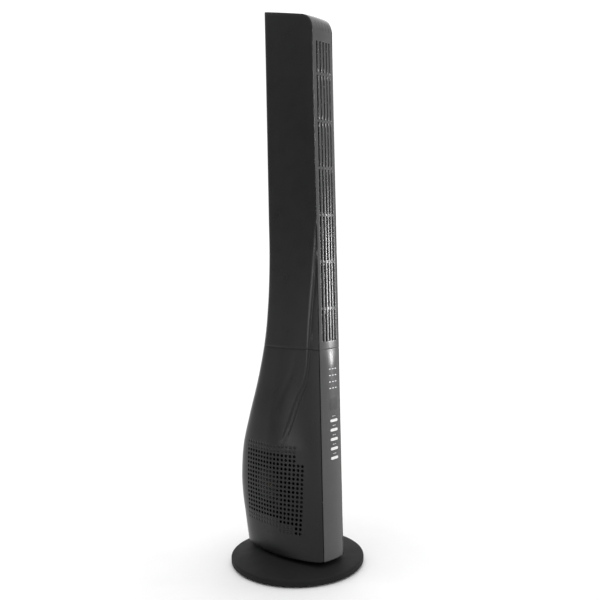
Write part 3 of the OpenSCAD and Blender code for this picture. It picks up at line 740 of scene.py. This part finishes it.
def upper_skin():
    """Outer surface of the upper casing: both sides, the rear and the sloping top."""
    foot = SEAM_Z + SEAM_GAP
    brow = foot + 1.4
    levels = [(foot, 0.55), (foot + 0.5, 0.12), (brow, 0.0)]
    levels += [(brow + (CREASE_END - brow) * k / 90, 0.0) for k in range(1, 91)]
    levels += [(CREASE_END + (LAST_Z - CREASE_END) * k / 26, 0.0) for k in range(1, 27)]
    top_lines = [ARC_Y - TOP_R * math.cos(ARC_END * k / ARC_LINES) for k in range(ARC_LINES + 1)]
    slope_lines = SIDE_LINES - ARC_LINES
    start, end = top_lines[-1], side_end(RIM_Z)
    top_lines += [start + (end - start) * k / slope_lines for k in range(1, slope_lines + 1)]

    def both_sides(row):
        """A row of the +X side, ended on the middle line and followed by its mirror image."""
        right = row[:-1] + [(0.0, row[-1][1], row[-1][2])]
        return right + [(-x, y, z) for x, y, z in reversed(right[:-1])]

    rows = []
    for z, inset in levels:
        lines = column_lines(z)
        if z > CREASE_END:
            lines = between(lines, top_lines, smooth((z - CREASE_END) / (LAST_Z - CREASE_END)))
        rows.append(both_sides([(x, y, z) for x, y in section_row(z, inset, lines)]))

    edge = len(EDGE)
    low = section_row(RIM_Z, 0.0, top_lines)

    def rim_row(share, depth, inset):
        """Row between the last level and the rim: share of the way, depth inside the top profile."""
        row = section_row(RIM_Z, inset, top_lines)
        out = []
        for k, (x, y) in enumerate(row):
            if k < edge + ARC_LINES:
                angle = ARC_END * max(0, k - edge + 1) / ARC_LINES
                angle = max(angle, CORNER_ANGLE * (k + 1))
                fade = max(CORNER_LEAST, smooth(angle / CORNER_FADE))
                ty, tz = top_point(angle, True, depth * fade)
                x = low[k][0] - inset * fade
            else:
                ty, tz = top_point(y, False, depth)
            out.append((x, ty if share >= 1 else y + (ty - y) * share, LAST_Z + (tz - LAST_Z) * share))
        return both_sides(out)

    for k in range(1, 15):
        rows.append(rim_row(k / 14, RIM_ROUND, 0.0))
    for depth, inset in ((0.62, 0.18), (0.18, 0.62), (0.0, RIM_ROUND)):
        rows.append(rim_row(1.0, depth, inset))

    skin = Skin()
    index = skin.grid(rows)
    top = index[-1]
    n = len(top)
    cover = [k for k in range((n + 1) // 2) if skin.points[top[k]][1] >= COVER_Y]
    previous = None
    for k in cover:
        right, left = top[k], top[n - 1 - k]
        if right == left:
            line = [right] * (COVER_CELLS + 1)
        else:
            x0, y0, z0 = skin.points[right]
            line = [right]
            line += [skin.add((x0 * (1 - 2 * m / COVER_CELLS), y0, z0)) for m in range(1, COVER_CELLS)]
            line += [left]
        if previous:
            for m in range(COVER_CELLS):
                corners = [previous[m], line[m], line[m + 1], previous[m + 1]]
                unique = [v for i, v in enumerate(corners) if v not in corners[:i]]
                if len(unique) > 2:
                    skin.faces.append(tuple(unique))
        previous = line
    return skin


# the carrying recess in the back: its middle, half its width and height, and the cut's two ends
HANDLE_Z = 1038.0
HANDLE_HALF_W, HANDLE_HALF_H, HANDLE_CORNER = 27.2, 30.2, 3.0
HANDLE_CUT = (22.0, 50.0)


def make_upper_shell():
    """The upper casing, cut for its screws and the carrying recess."""
    skin = upper_skin()
    skin.thicken(WALL)
    shell = skin.piece("upper_shell", "tower", SLOTS["casing_black"])
    low, high = HANDLE_Z - HANDLE_HALF_H, HANDLE_Z + HANDLE_HALF_H
    recess = rounded_box(-HANDLE_HALF_W, HANDLE_HALF_W, low, high, HANDLE_CORNER)
    cutters = [prism(recess, *HANDLE_CUT)]
    for z in UPPER_SCREWS:
        cutters += screw_cutters(0.0, z)
    cut(shell, cutters)
    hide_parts("upper_casing")


make_upper_shell()

# ---- Front strip: outlet grille and control fascia ------------------------------------------

STRIP_HALF = 28.65  # half the strip's width
GRILLE_SAG, FASCIA_SAG = 2.6, 4.5  # rise of the arched front in its middle
SLOT_PITCH, SLOT_W = 9.1, 4.0
SLOT_COUNT = 5  # slots side by side
SLOT_Z = (494.0, 1118.0)  # lower and upper end of the slots
RIB_FIRST, RIB_PITCH, RIB_COUNT, RIB_H = 562.5, 97.5, 6, 5.0  # the ribs across the slots
RIB_BACK = 0.7  # the ribs lie this far behind the face
FLUTE_Z = (1136.0, 1162.0)  # lower and upper end of the flutes
FLUTE_DEPTH, FLUTE_FADE = 1.1, 7.0
GRILLE_FOOT = SEAM_Z + SEAM_GAP
GRILLE_WALL, PANEL_WALL = 3.5, 2.6
CURL_Y = -FRONT_Y - GRILLE_SAG + TOP_R  # centre of the grille's curl over the top
CURL_END = math.acos((CURL_Y + 86.2) / TOP_R)  # it ends at y = -86.2
CURL_FLATTEN = 0.6  # share of the arch that is lost along the curl
# rounded edges: each one's depth and how far it reaches
SIDE_ROUND, SEAM_ROUND, SLOT_ROUND = (0.35, 0.7), (0.2, 0.5), (0.26, 0.7)
SLOT_REACH = 1.2  # a slot edge further away than this doesn't count
FAR = 99.0


def rounding(distance, size):
    """How far the face lies back at a distance from a rounded edge."""
    depth, reach = size
    return depth * max(0.0, 1 - distance / reach) ** 2


def arch_drop(x, sag):
    """How far the arched front lies behind its middle at x."""
    r = (FRONT_HALF**2 + sag**2) / (2 * sag)
    return r - math.sqrt(r * r - x * x)


def slot_spans():
    """(lowest, highest) z of each slot zone, between the ribs."""
    edges = [SLOT_Z[0]]
    for i in range(RIB_COUNT):
        rib = RIB_FIRST + i * RIB_PITCH
        edges += [rib - RIB_H / 2, rib + RIB_H / 2]
    edges.append(SLOT_Z[1])
    return [(edges[k], edges[k + 1]) for k in range(0, len(edges), 2)]


def grille_point(x, s, inset):
    """Point of the grille's face at x and height s, where s runs on along the curl over the top."""
    drop = arch_drop(x, GRILLE_SAG)
    if s <= ARC_Z:
        return (x, -FRONT_Y - GRILLE_SAG + drop + inset, s)
    angle = (s - ARC_Z) / TOP_R
    r = TOP_R - drop * (1 - CURL_FLATTEN * smooth(angle / CURL_END)) - inset
    return (x, CURL_Y - r * math.cos(angle), ARC_Z + r * math.sin(angle))


def edge_lines(low, high):
    """Lines just outside a slot's two edges, which round those edges over."""
    return [low - 0.8, low - 0.4, low - 0.15, low, high, high + 0.15, high + 0.4, high + 0.8]


def make_grille():
    """The outlet grille: arched, slotted between its ribs, and curled back over the top."""
    spans = slot_spans()
    flute_low = FLUTE_Z[0]
    flute_high = ARC_Z + TOP_R * math.asin((FLUTE_Z[1] - ARC_Z) / TOP_R)
    columns = [side * (STRIP_HALF - e) for e in (0.0, 0.2, 0.7) for side in (-1, 1)]
    columns += [-26.0, -23.5, 23.5, 26.0]
    middles = [(c - (SLOT_COUNT - 1) / 2) * SLOT_PITCH for c in range(SLOT_COUNT)]
    for m in middles:
        columns += edge_lines(m - SLOT_W / 2, m + SLOT_W / 2)
        columns.append(m)
    for a, b in zip(middles, middles[1:]):
        columns.append((a + b) / 2)
    columns = sorted(set(round(c, 4) for c in columns))

    # rows for the foot, the flutes' fades, the slots, the curl and the plain parts between them
    end = ARC_Z + TOP_R * CURL_END
    rows = [GRILLE_FOOT + e for e in (0.0, 0.15, 0.5, 2.0)] + [483.0, 488.5]
    rows += [flute_low + FLUTE_FADE * k / 6 for k in range(7)]
    rows += [flute_high - FLUTE_FADE * k / 6 for k in range(7)]
    for low, high in spans:
        rows += edge_lines(low, high)
        count = max(1, round((high - low) / 12))
        rows += [low + (high - low) * k / count for k in range(1, count)]
    rows += [ARC_Z + (end - ARC_Z) * k / 34 for k in range(35)] + [1121.5, 1124.5, 1128.0, 1131.5]
    rows = sorted(set(round(r, 3) for r in rows if r <= end))
    rows = [r for k, r in enumerate(rows) if k == 0 or r - rows[k - 1] > 0.12]

    def slot_gap(x, s):
        """Distance outside the nearest slot edge."""
        best = FAR
        for m in middles:
            dx = max(abs(x - m) - SLOT_W / 2, 0.0)
            if dx < SLOT_REACH:
                for low, high in spans:
                    ds = max(low - s, s - high, 0.0)
                    if ds < SLOT_REACH:
                        best = min(best, math.hypot(dx, ds))
        return best

    def inset(x, s):
        """How far the face lies back at x and s: rounded edges, ribs and flutes."""
        edges = rounding(STRIP_HALF - abs(x), SIDE_ROUND) + rounding(s - GRILLE_FOOT, SEAM_ROUND)
        edges += rounding(slot_gap(x, s), SLOT_ROUND)
        gap = min(abs(x - m) for m in middles)
        rib = 0.0
        if gap < SLOT_W / 2 + 0.5:
            near = min(abs(s - RIB_FIRST - i * RIB_PITCH) for i in range(RIB_COUNT))
            rib = RIB_BACK * smooth((SLOT_W / 2 + 0.5 - gap) / 0.6) * (near < RIB_H / 2 + 0.05)
        across = max(0.0, 1 - gap / (SLOT_W / 2))
        along = smooth((s - flute_low) / FLUTE_FADE) * smooth((flute_high - s) / FLUTE_FADE)
        return max(edges, rib) + FLUTE_DEPTH * along * across

    grid = [[grille_point(x, s, inset(x, s)) for x in columns] for s in rows]
    skip = set()
    for i in range(len(rows) - 1):
        s = (rows[i] + rows[i + 1]) / 2
        for j in range(len(columns) - 1):
            x = (columns[j] + columns[j + 1]) / 2
            if any(abs(x - m) < SLOT_W / 2 for m in middles) and any(a < s < b for a, b in spans):
                skip.add((i, j))
    skin = Skin()
    skin.grid(grid, skip)
    skin.thicken(GRILLE_WALL)
    grille = skin.piece("outlet_grille", "tower", SLOTS["grille_grey"])
    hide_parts("front_grille")


make_grille()

BUTTON_X, BUTTON_TOP_Z, BUTTON_PITCH = 6.0, 326.0, 19.75
BUTTON_W, BUTTON_H = 23.0, 6.0
BUTTON_GAP = 0.3
BUTTONS = ["power", "speed", "swing", "timer", "mode"]  # from the top down
INDICATOR_X = [-3.5, 5.5, 14.5]
INDICATOR_Z = [435.0, 421.5, 408.0, 394.5]
INDICATOR_W, INDICATOR_H = 5.2, 2.2
WINDOW_X, WINDOW_Z = (-7.0, 17.0), (348.0, 373.0)
WINDOW_GAP, WINDOW_CORNER = 0.1, 1.2
PANEL_CUT = (-125.0, -100.0)  # the panel's openings are cut between these two y
MERGE_Z, MERGE_H = 440.0, 38.0  # from here up, the panel's arch turns into the grille's


def fascia_y(x, depth=0.0, z=0.0):
    """y of the panel's face: its arch flattens towards the seam to run on into the grille."""
    sag = FASCIA_SAG + (GRILLE_SAG - FASCIA_SAG) * smooth((z - MERGE_Z) / MERGE_H)
    return -FRONT_Y - sag + arch_drop(x, sag) + depth


def button_z(k):
    """Height of a button's middle."""
    return BUTTON_TOP_Z - k * BUTTON_PITCH


def make_fascia():
    """The control panel, with openings for the buttons, the indicators and the window."""
    columns = [-STRIP_HALF + e for e in (0.0, 0.2, 0.7)]
    columns += [-26.5 + 53.0 * k / 30 for k in range(31)]
    columns += [STRIP_HALF - e for e in (0.7, 0.2, 0.0)]
    foot, brow = BODY_BOTTOM + 2.0, SEAM_Z - 3.0
    rows = [BODY_BOTTOM + e for e in (0.0, 0.2, 0.7)]
    rows += [foot + (brow - foot) * k / 90 for k in range(91)]
    rows += [SEAM_Z - e for e in (1.2, 0.5, 0.15, 0.0)]
    skin = Skin()

    def inset(x, z):
        """How far the face lies back at x and z, along its rounded edges."""
        edge = min(STRIP_HALF - abs(x), z - BODY_BOTTOM)
        return rounding(edge, SIDE_ROUND) + rounding(SEAM_Z - z, SEAM_ROUND)

    skin.grid([[(x, fascia_y(x, inset(x, z), z), z) for x in columns] for z in rows])
    skin.thicken(PANEL_WALL)
    fascia = skin.piece("control_panel", "tower", SLOTS["grille_grey"])
    width, height = BUTTON_W + 2 * BUTTON_GAP, BUTTON_H + 2 * BUTTON_GAP
    outlines = [stadium(BUTTON_X, button_z(k), width, height) for k in range(len(BUTTONS))]
    outlines += [stadium(x, z, INDICATOR_W, INDICATOR_H, 6) for x in INDICATOR_X for z in INDICATOR_Z]
    x0, x1 = WINDOW_X[0] - WINDOW_GAP, WINDOW_X[1] + WINDOW_GAP
    z0, z1 = WINDOW_Z[0] - WINDOW_GAP, WINDOW_Z[1] + WINDOW_GAP
    outlines.append(rounded_box(x0, x1, z0, z1, WINDOW_CORNER))
    cut(fascia, [prism(outline, *PANEL_CUT) for outline in outlines])
    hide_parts("control_fascia")


make_fascia()

# a cap's rings from its skirt to its face: how far each is shrunk and stands proud of the panel
CAP_RINGS = [(0.0, -3.2), (0.0, 0.15), (0.12, 0.5), (0.42, 0.74), (1.0, 0.86), (2.0, 0.9)]
MARK_RISE, MARK_H = 9.3, 1.1  # height above the button's middle, and the strokes' thickness
MARKS = [(-2.6, 4.4), (2.9, 3.6)]  # each stroke's distance from the button's middle, and its width
MARK_PROUD, MARK_SUNK = 0.05, 0.3


def outline_scale(outline, cx, cz, shrink):
    """The outline moved inwards by shrink, for one with straight top and bottom."""
    out = []
    for x, z in outline:
        dx, dz = x - cx, z - cz
        half = BUTTON_W / 2 - BUTTON_H / 2
        px = max(-half, min(half, dx))
        length = math.hypot(dx - px, dz) or 1.0
        share = (length - shrink) / length
        out.append((cx + px + (dx - px) * share, cz + dz * share))
    return out


def make_button(k):
    """A push button's cap: pillow-shaped face on the fascia's arch, with a skirt behind it."""
    z = button_z(k)
    edge = stadium(BUTTON_X, z, BUTTON_W, BUTTON_H, 12)
    skin = Skin()
    rings = []
    for shrink, proud in CAP_RINGS:
        outline = outline_scale(edge, BUTTON_X, z, shrink)
        rings.append([skin.add((x, fascia_y(x, -proud), zz)) for x, zz in outline])
    for a, b in zip(rings, rings[1:]):
        skin.band(a, b)
    skin.lid(rings[-1])
    skin.floor(rings[0])
    name = BUTTONS[k]
    cap = skin.piece(name + "_key", name + "_button_cap", SLOTS["key_white"])
    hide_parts(name + "_button")


for k in range(len(BUTTONS)):
    make_button(k)


def make_key_marks():
    """Generic printed ticks above the buttons: two short strokes each, with no lettering."""
    skin = Skin()
    for k in range(len(BUTTONS)):
        for dx, width in MARKS:
            outline = stadium(BUTTON_X + dx, button_z(k) + MARK_RISE, width, MARK_H, 5)
            front = [skin.add((px, fascia_y(px, -MARK_PROUD), pz)) for px, pz in outline]
            back = [skin.add((px, fascia_y(px, MARK_SUNK), pz)) for px, pz in outline]
            skin.band(back, front)
            skin.lid(front)
            skin.floor(back)
    marks = skin.piece("key_marks", "tower", SLOTS["key_white"])


make_key_marks()

# ---- Base -----------------------------------------------------------------------------------

BASE_R = 145.96  # rim radius, just inside the disc's own
BASE_SIDES = 256
CORD_Z, CORD_R = 9.8, 4.5  # the cord inlet's hole
CORD_CUT = (120.0, 150.0)


def smoothed(points, steps=4):
    """The points joined by a Catmull-Rom curve."""
    out = []
    for k in range(len(points) - 1):
        p0, p1 = points[max(k - 1, 0)], points[k]
        p2, p3 = points[k + 1], points[min(k + 2, len(points) - 1)]
        for m in range(steps):
            t = m / steps
            out.append(tuple(
                0.5 * (2 * b + (c - a) * t + (2 * a - 5 * b + 4 * c - d) * t * t
                       + (3 * b - a - 3 * c + d) * t**3)
                for a, b, c, d in zip(p0, p1, p2, p3)
            ))
    out.append(points[-1])
    return out


def make_base():
    """The domed base as a turned shell, with a soft rim and the cord inlet's hole at the back."""
    outer = [
        (12.3, 26.6), (12.9, 27.0), (30, 27.0), (46, 26.95), (64, 26.3), (80, 25.4), (96, 24.1),
        (110, 22.5), (121, 20.95), (130, 19.4), (136.5, 18.2), (141.0, 17.3), (143.6, 16.6),
        (145.0, 15.8), (145.75, 14.7), (145.98, 13.4), (146.0, 11.8), (146.0, 6.2), (145.8, 5.0),
        (145.2, 4.0), (144.4, 3.4), (143.4, 3.2),
    ]
    inner = [(141.5, 3.2), (141.5, 12.5), (128, 16.4), (108, 19.4), (78, 22.4), (46, 24.0), (12.3, 24.0)]
    profile = [(min(r, BASE_R), z) for r, z in smoothed(outer)] + inner
    skin = Skin()
    angles = [2 * math.pi * k / BASE_SIDES for k in range(BASE_SIDES)]
    rings = [[skin.add((r * math.cos(a), r * math.sin(a), z)) for a in angles] for r, z in profile]
    for a, b in zip(rings, rings[1:] + rings[:1]):
        skin.band(b, a)
    base = skin.piece("base_shell", "base", MATT_BLACK, sharp=40)
    cut(base, [drum(0, CORD_Z, CORD_R, *CORD_CUT)], sharp=40)
    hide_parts("base_disc")


make_base()

# ---- Studio ---------------------------------------------------------------------------------

WORLD_DIM = 0.27  # light from everywhere
# backdrop behind the fan and soft light overhead: direction, where each starts and is full, strength
WORLD_PATCHES = [
    ((0.69, 0.724, 0.0), 0.56, 0.86, 0.80),
    ((0.94, -0.342, 0.0), 0.86, 0.95, 0.36),
    ((0.70, -0.66, 0.27), 0.90, 0.97, 0.20),
    ((0.0, 0.0, 1.0), 0.20, 0.85, 1.12),
]
FLOOR_R = 14000.0
# light panels: name, place, what each is aimed at, width, height, power, spread in degrees
PANELS = [
    ("front_right", (1.835, -1.733, 0.56), (0, -0.1, 0.62), 0.14, 0.67, 0.78, 34),
    ("left", (-2.2, -0.09, 0.44), (0, -0.05, 0.55), 0.45, 0.46, 0.12, 20),
    ("fill", (-1.5, -1.7, 1.45), (0, -0.1, 1.02), 0.5, 0.4, 0.6, 22),
]


def make_studio():
    """The pale floor, the surroundings and the light panels."""
    world = bpy.data.worlds.new("studio")
    world.use_nodes = True
    nodes, links = world.node_tree.nodes, world.node_tree.links
    place = nodes.new("ShaderNodeTexCoord")

    def share(direction, low, high, gain):
        """A soft patch of light around a direction, as a value from 0 to gain."""
        dot = nodes.new("ShaderNodeVectorMath")
        dot.operation = "DOT_PRODUCT"
        dot.inputs[1].default_value = direction
        links.new(place.outputs["Generated"], dot.inputs[0])
        ramp = nodes.new("ShaderNodeMapRange")
        ramp.interpolation_type = "SMOOTHSTEP"
        ramp.inputs["From Min"].default_value = low
        ramp.inputs["From Max"].default_value = high
        ramp.inputs["To Max"].default_value = gain
        links.new(dot.outputs["Value"], ramp.inputs["Value"])
        return ramp.outputs["Result"]

    total = None
    for patch in WORLD_PATCHES:
        add = nodes.new("ShaderNodeMath")
        add.operation = "ADD"
        add.inputs[1].default_value = WORLD_DIM
        if total:
            links.new(total, add.inputs[1])
        links.new(share(*patch), add.inputs[0])
        total = add.outputs["Value"]
    background = nodes["Background"]
    background.inputs["Color"].default_value = (1, 1, 1, 1)
    links.new(total, background.inputs["Strength"])
    scene = bpy.context.scene
    scene.world = world
    scene.view_settings.view_transform = "Standard"

    skin = Skin()
    angles = [2 * math.pi * k / 64 for k in range(64)]
    ring = [skin.add((FLOOR_R * math.cos(a), FLOOR_R * math.sin(a), 0.0)) for a in angles]
    skin.faces.append(tuple(ring))
    floor = bpy.data.objects.new("floor", skin.mesh("floor"))
    scene.collection.objects.link(floor)
    pale = surface("floor", (0.93, 0.93, 0.93), (0.95, 0.95, 0.95), (0.8, 0.9), specular=0.2)
    floor.data.materials.append(pale)

    for name, at, aim, width, height, power, spread in PANELS:
        light = bpy.data.lights.new(name, "AREA")
        light.shape = "RECTANGLE"
        light.size, light.size_y, light.energy = width, height, power
        light.spread = math.radians(spread)
        lamp = bpy.data.objects.new(name, light)
        lamp.location = at
        lamp.rotation_euler = (Vector(aim) - Vector(at)).to_track_quat("-Z", "Y").to_euler()
        scene.collection.objects.link(lamp)


make_studio()
